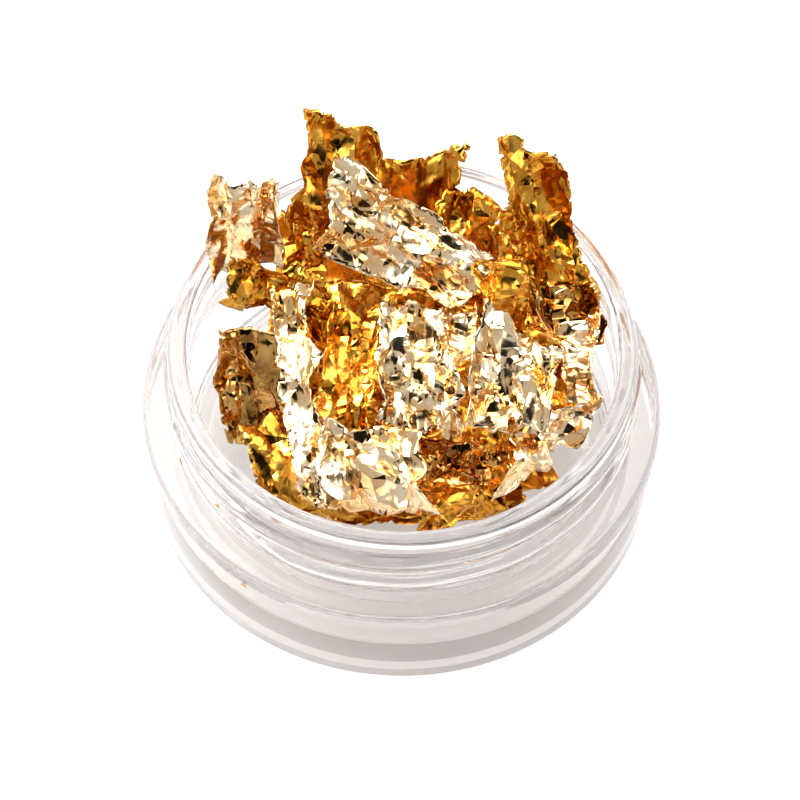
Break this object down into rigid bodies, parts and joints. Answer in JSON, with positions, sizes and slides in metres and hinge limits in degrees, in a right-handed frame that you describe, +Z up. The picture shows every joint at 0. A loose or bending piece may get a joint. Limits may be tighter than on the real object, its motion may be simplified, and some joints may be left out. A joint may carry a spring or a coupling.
{
  "type": "open screw jar of loose gold foil",
  "caption": "Shallow clear screw-neck sample jar standing open, heaped above its rim with loose crumpled gold foil flakes that lift out.",
  "frame": {"origin": "centre of the foot, on the surface that the jar stands on", "axes": "+Z up along the neck, -Y towards the front of the heap"},
  "size_m": [0.03, 0.03, 0.0213],
  "materials": {
    "clear_plastic": "clear moulded polystyrene, polished",
    "foil_champagne": "pale bright crumpled leaf",
    "foil_amber": "deep amber bright crumpled leaf",
    "foil_dark": "bright leaf that mirrors its dark surroundings"
  },
  "bodies": {
    "jar": {"jar": "clear_plastic", "stray_specks": "foil_amber"},
    "foil_nest": {"bed_flake_low": "foil_amber", "bed_flake_left": "foil_amber", "bed_flake_right": "foil_amber", "bed_flake_back": "foil_amber", "bed_flake_front": "foil_amber", "bed_flake_upper": "foil_amber", "left_upright_flake": "foil_dark", "bed_flake_rear": "foil_amber", "bed_flake_top": "foil_amber", "front_left_flake": "foil_amber", "front_dark_flake": "foil_dark", "front_amber_flake": "foil_amber", "front_right_flake": "foil_champagne", "middle_band_flake": "foil_amber", "back_amber_flake": "foil_amber", "peak_flake": "foil_amber", "back_right_flake": "foil_amber", "right_spire_flake": "foil_amber", "left_back_flake": "foil_amber", "left_amber_flake": "foil_amber", "right_amber_flake": "foil_amber", "right_dark_flake": "foil_dark", "middle_pleated_flake": "foil_amber", "white_strip_flake": "foil_champagne"},
    "left_spire_flake": {"left_spire_flake": "foil_champagne"},
    "champagne_flake": {"champagne_flake": "foil_champagne"},
    "right_jagged_flake": {"right_jagged_flake": "foil_champagne"},
    "right_fan_flake": {"right_fan_flake": "foil_champagne"},
    "middle_crinkled_flake": {"middle_crinkled_flake": "foil_champagne"},
    "front_ridged_flake": {"front_ridged_flake": "foil_champagne"}
  },
  "joints": [
    {"name": "foil_nest_lift", "type": "slide", "parent": "jar", "child": "foil_nest", "axis": [0, 0, 1], "range_m": [0, 0.012]},
    {"name": "left_spire_lift", "type": "slide", "parent": "foil_nest", "child": "left_spire_flake", "axis": [0, 0, 1], "range_m": [0, 0.011]},
    {"name": "champagne_lift", "type": "slide", "parent": "foil_nest", "child": "champagne_flake", "axis": [0, 0, 1], "range_m": [0, 0.011]},
    {"name": "right_jagged_lift", "type": "slide", "parent": "foil_nest", "child": "right_jagged_flake", "axis": [0, 0, 1], "range_m": [0, 0.011]},
    {"name": "right_fan_lift", "type": "slide", "parent": "foil_nest", "child": "right_fan_flake", "axis": [0, 0, 1], "range_m": [0, 0.011]},
    {"name": "middle_crinkled_lift", "type": "slide", "parent": "foil_nest", "child": "middle_crinkled_flake", "axis": [0, 0, 1], "range_m": [0, 0.011]},
    {"name": "front_ridged_lift", "type": "slide", "parent": "foil_nest", "child": "front_ridged_flake", "axis": [0, 0, 1], "range_m": [0, 0.011]}
  ]
}
